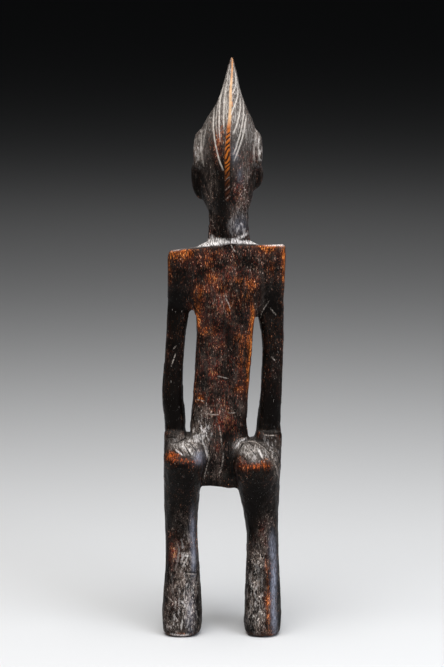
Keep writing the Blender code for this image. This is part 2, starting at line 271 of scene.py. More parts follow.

# Painted glints on the rubbed edges of the buttocks, the left leg and its heel, in pixels
GLINTS = [
    [(176, 450.4), (183.6, 455.2)],
    [(171, 633.6), (180, 635.2), (190, 634.2)],
    [(181.4, 446), (186.4, 449.6)],
    [(188, 448.2), (192.6, 454.6)],
    [(191, 437.6), (198, 435.4), (204.6, 436.4)],
    [(195.4, 436), (200.4, 443)],
    [(199.6, 436.4), (206, 449)],
    [(258.4, 449), (262.2, 457.4)],
    [(235.6, 448), (240, 441.6), (246.4, 438.2)],
    [(205.4, 449), (208.6, 458.6)],
    [(184.6, 555.6), (189.4, 556.2)],
    [(182, 601), (186, 606.4)],
]

# Spots of the patina, in pixels: across, down, the two half widths, and how strong. These are orange
ORANGE_SPOTS = [
    (172, 252, 7, 6, 0.75), (186, 254, 9, 6, 0.7), (169, 262, 2.5, 16, 0.7), (176, 245.5, 10, 2.5, 0.7),
    (218, 252, 3.5, 5, 0.4), (208, 262, 5, 8, 0.5), (212, 278, 6, 5, 0.8), (222, 289, 7, 6, 0.5),
    (238, 281, 9, 4, 0.6), (252, 286, 5, 7, 0.6), (200, 293, 6, 8, 0.65), (197, 312, 5, 14, 0.6),
    (229, 307, 5, 6, 0.7), (244, 297, 7, 7, 0.45), (267, 248, 8, 6, 0.8), (284.5, 258, 2.4, 22, 1.1),
    (272, 268, 4, 7, 0.5), (284, 285, 2, 14, 0.4), (276, 244, 9, 2.6, 0.9), (253, 316, 2.4, 12, 1.4),
    (250.6, 345, 2.4, 18, 1.5), (248.6, 378, 2.4, 20, 1.4), (205, 333, 5, 5, 0.6), (212, 331, 5, 8, 0.4),
    (239, 338, 5, 5, 0.7), (241, 356, 4, 16, 0.5), (223, 345, 4, 4, 0.3), (238, 389, 6, 5, 0.5),
    (197, 320, 3, 10, 0.4), (200, 399, 5, 4, 0.8), (173, 455, 8, 5, 1.0), (188, 461, 12, 2.2, 0.6),
    (254, 466, 11, 2.8, 0.9), (265, 463, 4.6, 4, 1.0), (240, 456, 3, 4, 0.4), (181, 636, 10, 2.8, 1.2),
    (267.5, 590, 2.2, 26, 0.9), (269.5, 621, 2.4, 14, 0.8), (266.5, 562, 2, 8, 0.5),
    (218.5, 140, 3.6, 16, 0.4), (222.5, 128, 3, 12, 0.35), (232.5, 102, 2, 14, 0.4),
    (280.5, 545, 1.6, 20, 0.5), (197.5, 540, 1.4, 14, 0.6), (187, 546, 5, 8, 0.35),
]

# Spots where that orange is redder
FIRE_SPOTS = [(173, 456, 12, 7, 1.1), (188, 461.5, 13, 4.5, 1.0), (256, 465.5, 14, 5, 1.1)]

# Spots of red wood, of painted shade and of painted highlight
RED_SPOTS = [
    (226, 262, 52, 22, 0.58), (222, 300, 32, 22, 0.7), (222, 350, 30, 40, 0.62), (220, 405, 26, 22, 0.6),
    (222, 424, 14, 12, 0.5), (213, 373, 4, 5, 0.9), (194, 385, 4, 12, 0.9), (231, 426, 5, 8, 0.7),
    (216, 450, 7, 14, 0.6), (240, 204, 7, 14, 0.5), (236, 190, 5, 16, 0.4), (246, 160, 8, 16, 0.5),
    (176, 560, 8, 30, 0.6), (174, 552, 4, 10, 0.8), (262, 540, 8, 26, 0.6), (172, 612, 10, 18, 0.5),
    (268, 600, 6, 36, 0.7), (168, 340, 3, 26, 0.5), (284, 330, 3, 40, 0.4), (274, 390, 8, 30, 0.4),
    (187, 462, 10, 4, 0.7), (243, 462, 8, 8, 0.6), (215, 226, 9, 12, 0.3), (260, 150, 6, 18, 0.8),
    (197, 150, 7, 18, 0.7), (242, 186, 9, 26, 0.35), (219, 140, 5, 20, 1.2),
]
PAINTED_SHADE_SPOTS = [
    (186, 272, 12, 12, 0.7), (216, 262, 6, 8, 0.6), (247, 262, 6, 10, 0.5), (228, 340, 5, 22, 1.0),
    (207, 304, 6, 9, 0.7), (208, 322, 6, 7, 0.5), (222, 388, 10, 6, 0.4), (247, 405, 5, 14, 0.4),
    (196, 182, 7, 20, 1.0), (259, 181, 6, 18, 0.9), (222, 185, 5, 26, 0.8), (224, 215, 6, 26, 0.7),
    (183, 482, 22, 24, 1.0), (261, 494, 22, 24, 1.0), (176, 300, 11, 18, 1.0), (270, 300, 12, 18, 0.8),
    (174, 360, 12, 60, 0.9), (273, 370, 13, 60, 0.8), (174, 412, 12, 24, 1.0), (270, 415, 12, 20, 1.0),
    (252, 520, 8, 26, 0.8), (172, 515, 10, 14, 0.6), (166.5, 560, 3, 60, 0.6), (230, 430, 4, 30, 0.5),
    (276, 545, 5, 12, 0.3), (198.5, 600, 3, 30, 0.6), (279.5, 590, 2, 40, 0.6),
]
HIGHLIGHT_SPOTS = [
    (223, 100, 10, 34, 0.95), (238, 110, 10, 36, 0.95), (230, 74, 6, 18, 0.8), (208, 126, 9, 12, 0.7),
    (250, 132, 8, 14, 0.75), (197, 142, 6, 12, 0.8), (260, 143, 5, 12, 0.9), (197, 155, 5, 8, 0.5),
    (204, 150, 6, 14, 0.3), (246, 160, 8, 22, 0.12), (282, 246, 4, 4, 0.8), (184, 446, 13, 6, 1.1),
    (198, 438, 11, 5, 1.2), (196, 455, 6, 7, 0.5), (243, 446, 8, 6, 1.0), (254, 453, 10, 7, 0.9),
    (262, 448, 9, 5, 0.3), (239, 222, 8, 14, 0.2),
    (181, 637, 10, 2.0, 0.3),
]

# Spots of small facets side by side, painted in shade and in highlight
KNIFE_SPOTS = [
    (186, 445, 14, 7, 0.4), (200, 437, 10, 5, 0.9), (203, 428, 8, 7, 0.6), (246, 447, 11, 8, 0.35),
    (258, 456, 9, 6, 0.35), (197, 146, 6, 16, 0.5), (260, 147, 5, 14, 0.6), (272, 448, 8, 12, 0.35),
    (186, 600, 12, 34, 0.3), (256, 596, 9, 34, 0.3), (186, 556, 7, 18, 0.4), (240, 224, 8, 12, 0.45),
    (246, 176, 6, 22, 0.1), (176, 625, 12, 12, 0.4),
]

# Spots of chalky specks
CHALK_SPOTS = [
    (241, 186, 8, 26, 0.45), (248, 172, 6, 26, 0.35), (210, 180, 9, 26, 0.4), (246, 206, 6, 14, 0.3),
    (238, 222, 9, 16, 0.7), (213, 224, 6, 14, 0.5), (197, 146, 7, 18, 1.2), (260, 148, 6, 18, 1.3),
    (236, 262, 46, 20, 0.2), (226, 300, 30, 22, 0.25), (222, 350, 28, 40, 0.2), (222, 400, 28, 20, 0.25),
    (204, 417, 12, 12, 0.6), (236, 412, 10, 8, 0.4), (198, 433, 12, 9, 1.2), (182, 444, 14, 7, 0.8),
    (176, 436, 11, 4, 0.5), (214, 464, 11, 20, 0.45), (250, 452, 12, 9, 0.8), (271, 448, 9, 12, 0.9),
    (276, 466, 4, 12, 0.8), (186, 556, 8, 26, 0.8), (189, 598, 11, 34, 1.1), (172, 600, 9, 34, 0.55),
    (256, 584, 9, 34, 1.2), (262, 556, 8, 20, 0.8), (256, 618, 10, 14, 1.1), (180, 624, 16, 10, 1.1),
    (268, 520, 9, 22, 0.45), (180, 520, 12, 10, 0.4), (276, 370, 4, 20, 0.4), (172, 360, 6, 16, 0.25),
    (266, 300, 8, 16, 0.4), (272, 615, 6, 20, 0.5),
]

# Spots of a painted bluish reflection of the cool side light
REFLECTION_SPOTS = [
    (192.5, 530, 2.2, 16, 0.75), (193.5, 558, 2.2, 16, 1.0), (190, 612, 4, 20, 0.4),
    (274, 575, 2.6, 22, 1.0), (273, 604, 2.3, 22, 0.7), (272, 545, 3, 12, 0.6), (199, 457, 4.5, 6, 0.8),
    (235, 154, 3.5, 9, 0.3), (240, 225, 7, 8, 0.35), (240, 175, 3, 8, 0.25),
    (275, 622, 2.3, 14, 0.7),
]

# Noises of the patina: scale, detail, roughness, stretch, turn in degrees and offset
NOISES = {
    "speck": (480, 4, 0.7, (1, 1, 1), (0, 0, 0), 0.0),
    "fine": (900, 2, 0.6, (1, 1, 0.8), (0, 0, 0), 3.0),
    "grit": (700, 3, 0.75, (1, 1, 0.9), (0, 0, 0), 15.0),
    "grain": (900, 3, 0.6, (1, 1, 0.07), (0, 0, 0), 7.0),
    "clouds": (130, 4, 0.6, (1, 1, 1), (0, 0, 0), 11.0),
    "blotch": (75, 4, 0.65, (1, 1, 1), (0, 0, 0), 21.0),
    "facets": (150, 3, 0.65, (2.8, 1, 1), (0, 38, 0), 43.0),
    "bark": (130, 4, 0.65, (2.6, 1, 0.55), (0, 12, 0), 27.0),
    "short": (420, 3, 0.7, (2.6, 1, 0.9), (0, 58, 0), 31.0),
    "strokes": (330, 3, 0.7, (4.5, 1, 0.8), (0, 32, 0), 5.0),
    "cross": (330, 3, 0.7, (4.5, 1, 0.8), (0, -42, 0), 9.0),
}

# Colors of the bare wood
BLACK_WOOD = (0.0035, 0.0025, 0.002)
BROWN_WOOD = (0.017, 0.0105, 0.008)
GREENISH_WOOD = (0.010, 0.0105, 0.0095)

# Colors of the rubbed wood
RED_GROUND = (0.042, 0.010, 0.0075)
ORANGE_GROUND = (0.115, 0.020, 0.0045)
RED_SPECKS = (0.13, 0.022, 0.013)
ORANGE_SPECKS = (0.43, 0.10, 0.018)
OCHRE_SPECKS = (0.82, 0.28, 0.06)
FIRE_SPECKS = (0.88, 0.15, 0.022)
STRAW_SPECKS = (0.52, 0.25, 0.10)
OLIVE_PATCHES = (0.0095, 0.0098, 0.0082)

# Colors of the dust
GREY_FLECKS = (0.11, 0.088, 0.074)
DUST_GROUND = (0.074, 0.051, 0.041)
DUST_STREAKS = (0.165, 0.127, 0.106)
DUST_SPECKS = (0.37, 0.305, 0.262)
CHALK_SPECKS = (0.76, 0.69, 0.63)

# Colors of the painted shade, the painted highlights, the painted bluish reflection and the knife facets
# in shade and highlight
PAINTED_SHADE_COLOR = (0.003, 0.0019, 0.0014)
HIGHLIGHT_LOW = (0.085, 0.071, 0.062)
HIGHLIGHT_COLOR = (0.23, 0.20, 0.178)
HIGHLIGHT_MARKS = (0.52, 0.48, 0.44)
HIGHLIGHT_STREAKS = (0.44, 0.40, 0.375)
PAINTED_BLUE_REFLECTION = (0.33, 0.345, 0.43)
FACET_SHADE = (0.014, 0.011, 0.010)
FACET_LIGHT = (0.86, 0.80, 0.77)

# Colors of the painted highlights on the edges, and of the cuts, the keel's painted highlight and shade
# among them
EDGE_HIGHLIGHT_LOW = (0.14, 0.12, 0.11)
EDGE_HIGHLIGHT_COLOR = (0.93, 0.88, 0.85)
KEEL_ORANGE = (0.46, 0.125, 0.016)
KEEL_HIGHLIGHT = (0.64, 0.40, 0.22)
KEEL_SHADE = (0.16, 0.038, 0.011)
NOTCH_SHADE = (0.020, 0.008, 0.005)
GROOVE_DUST_AND_HIGHLIGHT = (0.66, 0.60, 0.54)
SLIT_SHADE = (0.008, 0.006, 0.005)
STROKE_DUST = (0.58, 0.50, 0.44)

# Roughness of the oiled and the dry wood, and depth of the grain's relief
ROUGHNESSES = (0.38, 0.60)
RELIEF_DEPTH = 0.4 * MM

# The floor and the room
FLOOR_SIZE = 60.0
FLOOR_COLOR = (0.8, 0.8, 0.8, 1.0)
ROOM_COLOR = (0.9, 0.95, 1.0, 1.0)
ROOM_STRENGTH = 0.004

# Lights: name, place, aim, width and depth in metres, power in watts, and color
WHITE = (1.0, 1.0, 1.0)
COOL = (0.78, 0.86, 1.0)
WARM = (1.0, 0.95, 0.9)
LIGHTS = [
    ("overhead", (0.0, 0.65, 1.6), (0, 0.6, 0), (1.8, 1.0), 32, WHITE),
    ("rear", (0.0, -0.1, 1.35), (0, 0, 0), (1.6, 0.8), 6.0, WHITE),
    ("far", (0.0, -2.6, 1.35), (0, -2.6, 0), (1.6, 0.8), 0.65, WHITE),
    ("cool_side", (-1.0, 0.9, 0.9), (0, 0, 0.3), (0.8, 1.2), 6, COOL),
    ("fill", (0.5, 1.7, 1.0), (0, 0, 0.25), (0.4, 0.6), 1.6, WARM),
]


def photo_pixels(points):
    """Where points of the object fall in the photograph, as pixels across and down."""
    across = points[:, 0] - CAMERA_SIDE
    back = points[:, 1]
    height = points[:, 2] - AIM_HEIGHT
    tilt = CAMERA_ELEVATION
    away = CAMERA_DISTANCE - back * math.cos(tilt) - height * math.sin(tilt)
    up = height * math.cos(tilt) - back * math.sin(tilt)
    return np.stack([AIM_PIXEL_X - across * FOCAL_PIXELS / away,
                     AIM_PIXEL_Y - up * FOCAL_PIXELS / away], axis=1)


def smooth_step(value, low, high):
    t = np.clip((value - low) / (high - low), 0, 1)
    return t * t * (3 - 2 * t)


def curve_through(places, parts=6):
    """A smooth curve through a few places, as a chain of short straight pieces."""
    places = np.array(places, float)
    padded = np.vstack([2 * places[0] - places[1], places, 2 * places[-1] - places[-2]])
    chain = []
    for before, start, end, after in zip(padded, padded[1:], padded[2:], padded[3:]):
        for t in np.arange(parts) / parts:
            chain.append(0.5 * (2 * start + (end - before) * t
                                + (2 * before - 5 * start + 4 * end - after) * t ** 2
                                + (3 * start - before - 3 * end + after) * t ** 3))
    return np.array(chain + [places[-1]])


def line_distance(seen, chain, reach=6.0):
    """Distance of each seen point to a chain, and how far along the chain that is, 0 to 1."""
    distance = np.full(len(seen), 99.0)
    along = np.zeros(len(seen))
    inside = (seen > chain.min(0) - reach) & (seen < chain.max(0) + reach)
    near = np.flatnonzero(inside.all(axis=1))
    for number, (start, end) in enumerate(zip(chain, chain[1:])):
        run = end - start
        share = np.clip(((seen[near] - start) @ run) / max(run @ run, 1e-9), 0, 1)
        gap = np.linalg.norm(seen[near] - start - share[:, None] * run, axis=1)
        better = gap < distance[near]
        distance[near[better]] = gap[better]
        along[near[better]] = (number + share[better]) / (len(chain) - 1)
    return distance, along


def spotted(seen, spots):
    """The sum of soft round spots at each seen point."""
    total = np.zeros(len(seen))
    for across, down, half_width, half_height, strength in spots:
        apart = ((seen[:, 0] - across) / half_width) ** 2 + ((seen[:, 1] - down) / half_height) ** 2
        total += strength * np.exp(-apart)
    return total


def lumps(points, scale, offset=0.0, octaves=3):
    """Soft noise of about -1 to 1 whose largest lumps are scale across."""
    return np.array([noise.fractal(Vector(point) / scale + Vector((offset, offset, offset)),
                                   1.0, 2.0, octaves) for point in points])


def point_arrays(mesh):
    """Places and normals of a mesh's points."""
    places = np.empty(len(mesh.vertices) * 3)
    mesh.vertices.foreach_get("co", places)
    normals = np.empty(len(mesh.vertices) * 3)
    mesh.vertices.foreach_get("normal", normals)
    return places.reshape(-1, 3), normals.reshape(-1, 3)


def edge_ends(mesh):
    ends = np.empty(len(mesh.edges) * 2, dtype=np.int64)
    mesh.edges.foreach_get("vertices", ends)
    return ends.reshape(-1, 2)


def neighbour_mean(values, ends):
    """The mean of each point's neighbours."""
    count = len(values)
    degree = np.bincount(ends.ravel(), minlength=count)
    columns = values.reshape(count, -1)
    total = np.stack([np.bincount(ends[:, 0], column[ends[:, 1]], count)
                      + np.bincount(ends[:, 1], column[ends[:, 0]], count)
                      for column in columns.T], axis=1)
    return (total / np.maximum(degree, 1)[:, None]).reshape(values.shape)


def set_places(mesh, places):
    mesh.vertices.foreach_set("co", places.ravel())
    mesh.update()


def store(mesh, name, values):
    """Keep a value for each point of the mesh under a name."""
    layer = mesh.attributes.get(name) or mesh.attributes.new(name, "FLOAT", "POINT")
    layer.data.foreach_set("value", np.asarray(values, np.float32))


def stored(mesh, name):
    values = np.empty(len(mesh.vertices), np.float32)
    mesh.attributes[name].data.foreach_get("value", values)
    return values.astype(float)


def even_mesh(node):
    """An even mesh on the solid's surface, with the facets of the solid softened."""
    copy = bpy.data.objects.new("even", node.data.copy())
    bpy.context.scene.collection.objects.link(copy)
    remesh = copy.modifiers.new("remesh", "REMESH")
    remesh.mode = "VOXEL"
    remesh.voxel_size = GRAIN
    view = bpy.context.evaluated_depsgraph_get()
    mesh = bpy.data.meshes.new_from_object(copy.evaluated_get(view))
    bpy.data.objects.remove(copy)
    source = bmesh.new()
    source.from_mesh(node.data)
    surface = BVHTree.FromBMesh(source)
    source.free()
    places, _ = point_arrays(mesh)
    facing = np.empty_like(places)
    for index, place in enumerate(places):
        places[index], facing[index], _, _ = surface.find_nearest(Vector(place))
    ends = edge_ends(mesh)
    turn = 1 - (facing[ends[:, 0]] * facing[ends[:, 1]]).sum(axis=1)
    sharp = np.zeros(len(places))
    np.maximum.at(sharp, ends[:, 0], turn)
    np.maximum.at(sharp, ends[:, 1], turn)
    give = 1 - SHARP_HOLD * smooth_step(sharp, *SHARP_TURN)
    for weight in SMOOTHING:
        places += (neighbour_mean(places, ends) - places) * (weight * give)[:, None]
    set_places(mesh, places)
    return mesh


def standing_out(mesh, rounds=9, share=0.6):
    """How far each point stands out of its surroundings, in millimetres."""
    places, normals = point_arrays(mesh)
    ends = edge_ends(mesh)
    blurred = places.copy()
    for _ in range(rounds):
        blurred = blurred * (1 - share) + neighbour_mean(blurred, ends) * share
    return ((places - blurred) * normals).sum(axis=1) / MM


def split(mesh, chosen):
    """Split the faces that touch the chosen points."""
    cage = bmesh.new()
    cage.from_mesh(mesh)
    cage.verts.ensure_lookup_table()
    edges = {edge for face in cage.faces if any(chosen[vert.index] for vert in face.verts)
             for edge in face.edges}
    bmesh.ops.subdivide_edges(cage, edges=list(edges), cuts=1, use_grid_fill=True)
    cage.to_mesh(mesh)
    cage.free()
    mesh.update()


def seen_by_camera(normals):
    """How squarely each point faces the side that the photograph shows, 0 to 1."""
    facing = normals[:, 1] * math.cos(CAMERA_ELEVATION) + normals[:, 2] * math.sin(CAMERA_ELEVATION)
    return smooth_step(facing, 0.0, 0.25)


def near_lines(mesh, lines, reach):
    """The points behind that a line passes within reach of, in pixels."""
    places, normals = point_arrays(mesh)
    seen = photo_pixels(places)
    close = np.zeros(len(places), bool)
    for line in lines:
        gap, _ = line_distance(seen, curve_through(line))
        close |= gap < reach
    return close & (seen_by_camera(normals) > SEEN_LEAST)


def in_head(mesh):
    return point_arrays(mesh)[0][:, 2] > HEAD_FOOT


def carved_mesh(node):
    """The whole carving as one mesh, cut by the knife and carrying its masks."""
    mesh = even_mesh(node)
    store(mesh, "standing_out", standing_out(mesh))
    split(mesh, in_head(mesh))
    split(mesh, near_lines(mesh, CREST_GROOVES + FAINT_GROOVES + [KEEL], CREST_REACH))
    for reach in STROKE_REACHES:
        split(mesh, near_lines(mesh, STROKES + SLITS + GLINTS, reach) & ~in_head(mesh))
    cut_with_knife(mesh)
    paint_masks(mesh)
    return mesh


def adze_facets(places, normals):
    """Moves along the normals that lay each patch of points on one flat cut of the adze."""
    draw = random.Random(SEED)
    order = list(range(len(places)))
    draw.shuffle(order)
    squeezed = places / np.array([FACET_SPACING, FACET_SPACING, FACET_SPACING * FACET_STRETCH])
    taken = {}
    for index in order:
        taken.setdefault(tuple(np.floor(squeezed[index] * FACET_CROWDING).astype(int)), index)
    seeds = list(taken.values())
    tree = KDTree(len(seeds))
    for number, index in enumerate(seeds):
        tree.insert(squeezed[index], number)
    tree.balance()
    owner = np.array([seeds[tree.find(place)[1]] for place in squeezed])
    agree = smooth_step((normals * normals[owner]).sum(axis=1), 0.7, 0.95)
    moves = -((places - places[owner]) * normals[owner]).sum(axis=1) * agree
    return np.clip(moves, *FACET_MOVES)


def groove_depth(seen, lines, width):
    """How deep each seen point lies in any of the grooves, 0 to 1."""
    depth = np.zeros(len(seen))
    for line in lines:
        gap, along = line_distance(seen, curve_through(line))
        taper = 0.35 + 0.65 * smooth_step(along, 0.0, 0.2) * (1 - smooth_step(along, 0.85, 1.0))
        depth = np.maximum(depth, (1 - smooth_step(gap, 0.2 * width, width)) * taper)
    return depth


def keel_and_notches(places, seen, behind):
    """How much each point belongs to the crest's keel and to a notch across it, 0 to 1."""
    across, down = seen.T
    gap, _ = line_distance(seen, curve_through(KEEL))
    half_width = np.interp(down, KEEL_ROWS, KEEL_HALF_WIDTHS)
    keel = (1 - smooth_step(gap, 0.6 * half_width, 1.25 * half_width)) * behind
    twist = down + NOTCH_SLANT * (across - KEEL[-1][0]) + lumps(places, 9 * MM, 5.0) * 3
    notch = smooth_step(np.abs(twist / NOTCH_PITCH % 1.0 - 0.5), 0.2, 0.42) * keel
    notch *= smooth_step(down, *NOTCH_START) * (1 - smooth_step(down, *NOTCH_END))
    return keel, notch


def side_hatching(places):
    """Fine slanting cuts on the side locks, 0 to 1."""
    side = smooth_step(np.abs(places[:, 0] - FACE_X), *HATCH_SIDES)
    side *= smooth_step(places[:, 2], *HATCH_HEIGHTS)
    slant = (places[:, 1] + 0.35 * places[:, 2]) / HATCH_WAVE
    return smooth_step(np.sin(slant + lumps(places, 5 * MM, 9.0) * 2) * side, 0.1, 0.9)


def front_grooves(places, normals):
    """The grooves that sweep up the front of the crest, 0 to 1."""
    height = places[:, 2]
    front = smooth_step(-normals[:, 1], 0.1, 0.5)
    front *= smooth_step(height, CREST_FOOT, CREST_FOOT + 3 * MM)
    front *= 1 - smooth_step(height, *FRONT_ENDS)
    sweep = (np.abs(places[:, 0] - FACE_X) + 0.25 * (height - CREST_FOOT)) / FRONT_PITCH
    return smooth_step(np.abs(sweep % 1.0 - 0.5), 0.34, 0.47) * front


def eye_slits(places, normals):
    """The slits of the eyes, 0 to 1."""
    slits = np.zeros(len(places))
    for side in (-1, 1):
        across = (places[:, 0] - FACE_X - side * EYE_APART) / EYE_HALF_WIDTH
        up = (places[:, 2] - EYE_HEIGHT) / EYE_HALF_HEIGHT
        slits += np.exp(-across ** 4) * np.exp(-up ** 2)
    return slits * smooth_step(-normals[:, 1], 0.2, 0.6)


def soft_normals(mesh, normals, rounds=4):
    """Normals that turn gently from point to point."""
    ends = edge_ends(mesh)
    soft = normals.copy()
    for _ in range(rounds):
        soft = neighbour_mean(soft, ends)
        soft /= np.maximum(np.linalg.norm(soft, axis=1), 1e-9)[:, None]
    return soft


def drawn_and_boxed(places):
    """The places with the crest's tip drawn out to its point, all inside the solid's box."""
    low, high = np.array(cad_box)
    tip = smooth_step(places[:, 2], TIP_FOOT, high[2])
    middle = places[places[:, 2] > TIP_FOOT].mean(axis=0)
    places[:, 0] += (middle[0] - places[:, 0]) * TIP_PINCH * tip
    places[:, 2] += TIP_RISE * tip
    sole = places[:, 2] < SOLE_DEPTH
    places = np.clip(places, low + BOX_MARGIN, high - BOX_MARGIN)
    places[sole, 2] = low[2] + BOX_MARGIN
    return places


def cut_with_knife(mesh):
    """Facets, grooves, notches, slits and hatching, and the masks that color them."""
    places, normals = point_arrays(mesh)
    soft = soft_normals(mesh, normals)
    seen = photo_pixels(places)
    behind = seen_by_camera(normals)
    height = places[:, 2]
    head = smooth_step(height, HEAD_FOOT, HEAD_FOOT + 6 * MM)

    move = adze_facets(places, soft) * (1 - HEAD_CALM * head)
    move += lumps(places, WAVE_LENGTH) * WAVE_HEIGHT - WAVE_HEIGHT / 2
    cuts = {}
    for name, (lines, width, depth) in CUTS.items():
        cuts[name] = groove_depth(seen, lines, width) * behind
        move -= cuts[name] * depth
    keel, notch = keel_and_notches(places, seen, behind)
    move -= keel * KEEL_DEPTH + notch * NOTCH_DEPTH
    move -= side_hatching(places) * HATCH_DEPTH
    front = front_grooves(places, normals)
    move -= front * FRONT_DEPTH + eye_slits(places, normals) * EYE_DEPTH
    move *= smooth_step(height, *FOOT_CALM)

    set_places(mesh, drawn_and_boxed(places + soft * move[:, None]))
    line = cuts["groove"] * 1.1 + cuts["faint"] * 0.55 + front * 0.6
    store(mesh, "line", np.clip(line, 0, 1))
    store(mesh, "stroke", cuts["stroke"])
    store(mesh, "slit", cuts["slit"])
    keel = keel * (1 - KEEL_FADE * smooth_step(seen[:, 1], *KEEL_FADE_ROWS))
    store(mesh, "keel", keel * (1 - 0.9 * notch))
    store(mesh, "notch", notch)


def edge_highlights(seen):
    """The painted highlight on the shoulders' back edge, the neck's rims and the glints, 0 to 1."""
    across, down = seen.T
    top = np.interp(across, *np.array(EDGE_HIGHLIGHT_TOP).T)
    foot = np.interp(across, *np.array(EDGE_HIGHLIGHT_FOOT).T)
    edge_highlight = smooth_step(down, top - 0.3, top + 0.7) * (1 - smooth_step(down, foot - 0.7, foot + 0.5))
    edge_highlight *= smooth_step(across, *EDGE_HIGHLIGHT_LEFT_END) * (1 - smooth_step(across, *EDGE_HIGHLIGHT_RIGHT_END))
    edge_highlight *= 0.45 + 0.55 * smooth_step(across, *EDGE_HIGHLIGHT_BRIGHTENS)
    edge_highlight = np.maximum(edge_highlight, groove_depth(seen, NECK_RIMS, 1.8))
    return np.maximum(edge_highlight, 0.8 * groove_depth(seen, GLINTS, 1.5))


def paint_masks(mesh):
    """Where the patina is orange, red or chalky, and where shade, highlights and a bluish reflection are
    painted.
    """
    places, normals = point_arrays(mesh)
    seen = photo_pixels(places)
    down = seen[:, 1]
    behind = seen_by_camera(normals)
    out = stored(mesh, "standing_out")
    cloud = lumps(places, 22 * MM, 4.0)
    upward = smooth_step(normals[:, 2], 0.25, 0.85)
    edge = smooth_step(out, 0.3, 1.1)
    hollow = smooth_step(-out, 0.1, 0.6)
    crest = smooth_step(places[:, 2], CREST_FOOT, CREST_FOOT + 25 * MM)

    def blend(spots, elsewhere):
        return np.clip(spotted(seen, spots) * behind + elsewhere * (1 - behind), 0, 1.3)

    store(mesh, "orange", blend(ORANGE_SPOTS, edge * 0.7) + edge * behind * 0.3)
    store(mesh, "fire", blend(FIRE_SPOTS, 0.0))
    store(mesh, "red", blend(RED_SPOTS, 0.35 + 0.3 * cloud))
    # Painted shade: in the spots under the buttocks, the arms and the lower ears, and in the hollows,
    # over darker patches at random
    store(mesh, "painted_shade", blend(PAINTED_SHADE_SPOTS, 0.35 + 0.4 * hollow - 0.3 * cloud))
    # Painted highlight on the shoulders' back edge, the neck's rims and the glints
    store(mesh, "edge_highlight", edge_highlights(seen) * behind)
    # Knife facets painted in shade and highlight, in the spots and faintly where the surface faces up
    store(mesh, "knife", blend(KNIFE_SPOTS, 0.3 * upward))
    # Painted highlight where the surface faces up, on the crest, and in the spots on the shoulder tops,
    # the buttocks and the upper ears
    store(mesh, "painted_highlight", blend(HIGHLIGHT_SPOTS, 0.6 * upward + 0.5 * crest) + 0.12 * upward * behind)
    store(mesh, "chalk", blend(CHALK_SPOTS, 0.35 + 0.3 * cloud + 0.3 * upward))
    # Painted bluish reflection: in the spots on the sides of the legs and buttocks, and faintly at
    # random elsewhere
    store(mesh, "painted_reflection", blend(REFLECTION_SPOTS, 0.15 - 0.2 * cloud))
    # The keel's painted shade lower down and its painted highlight higher up
    store(mesh, "keel_shade", smooth_step(down, *KEEL_SHADE_ROWS))
    keel_highlight = 0.55 + 0.45 * smooth_step(down, *KEEL_HIGHLIGHT_START)
    store(mesh, "keel_highlight", keel_highlight * (1 - smooth_step(down, *KEEL_HIGHLIGHT_END)))


class Graph:
    """Short ways to add and join the nodes of a material."""

    def __init__(self, material):
        self.nodes = material.node_tree.nodes
        self.links = material.node_tree.links
        self.place = self.nodes.new("ShaderNodeTexCoord").outputs["Object"]

    def join(self, value, socket):
        """A link or a plain value into a socket."""
        if isinstance(value, bpy.types.NodeSocket):
            self.links.new(value, socket)
        elif isinstance(value, tuple):
            socket.default_value = value + (1.0,)
        else:
            socket.default_value = value

    def texture(self, scale, detail, roughness, stretch, turn, offset):
        """Noise in the object's own coordinates, turned by degrees."""
        mapping = self.nodes.new("ShaderNodeMapping")
        mapping.inputs["Scale"].default_value = stretch
        mapping.inputs["Rotation"].default_value = [math.radians(angle) for angle in turn]
        mapping.inputs["Location"].default_value = (offset, offset, offset)
        self.links.new(self.place, mapping.inputs["Vector"])
        grain = self.nodes.new("ShaderNodeTexNoise")
        grain.inputs["Scale"].default_value = scale
        grain.inputs["Detail"].default_value = detail
        grain.inputs["Roughness"].default_value = roughness
        self.links.new(mapping.outputs["Vector"], grain.inputs["Vector"])
        return grain.outputs["Fac"]

    def ramp(self, source, low, high, to_low=0.0, to_high=1.0):
        """A soft step from one value to another as the source goes from low to high."""
        node = self.nodes.new("ShaderNodeMapRange")
        node.interpolation_type = "SMOOTHSTEP"
        for socket, value in zip(node.inputs, (source, low, high, to_low, to_high)):
            self.join(value, socket)
        return node.outputs["Result"]

    def calc(self, kind, first, second, clamp=False):
        node = self.nodes.new("ShaderNodeMath")
        node.operation = kind
        node.use_clamp = clamp
        self.join(first, node.inputs[0])
        self.join(second, node.inputs[1])
        return node.outputs[0]

    def times(self, first, *factors):
        """The product of shares, held between 0 and 1."""
        for factor in factors:
            first = self.calc("MULTIPLY", first, factor, True)
        return first

    def mask(self, name):
        node = self.nodes.new("ShaderNodeAttribute")
        node.attribute_name = name
        return node.outputs["Fac"]

    def without(self, name):
        """One less a mask, held between 0 and 1."""
        return self.calc("SUBTRACT", 1.0, self.mask(name), True)

    def mix(self, amount, first, second):
        node = self.nodes.new("ShaderNodeMix")
        node.data_type = "RGBA"
        self.join(amount, node.inputs[0])
        self.join(first, node.inputs[6])
        self.join(second, node.inputs[7])
        return node.outputs[2]

    def scaled(self, color, amount):
        node = self.nodes.new("ShaderNodeVectorMath")
        node.operation = "SCALE"
        self.join(color, node.inputs["Vector"])
        self.join(amount, node.inputs["Scale"])
        return node.outputs["Vector"]

    def cover(self, name, grain, reach, low, high):
        """Specks of a grain that spread as the mask grows."""
        spread = self.calc("ADD", grain, self.calc("MULTIPLY", self.mask(name), reach))
        return self.ramp(spread, low, high)


def bare_wood(graph, noises):
    """Near-black wood with a brown grain and greenish clouds."""
    color = graph.mix(graph.ramp(noises["grain"], 0.35, 0.7), BLACK_WOOD, BROWN_WOOD)
    return graph.mix(graph.ramp(noises["clouds"], 0.5, 0.62), color, GREENISH_WOOD)


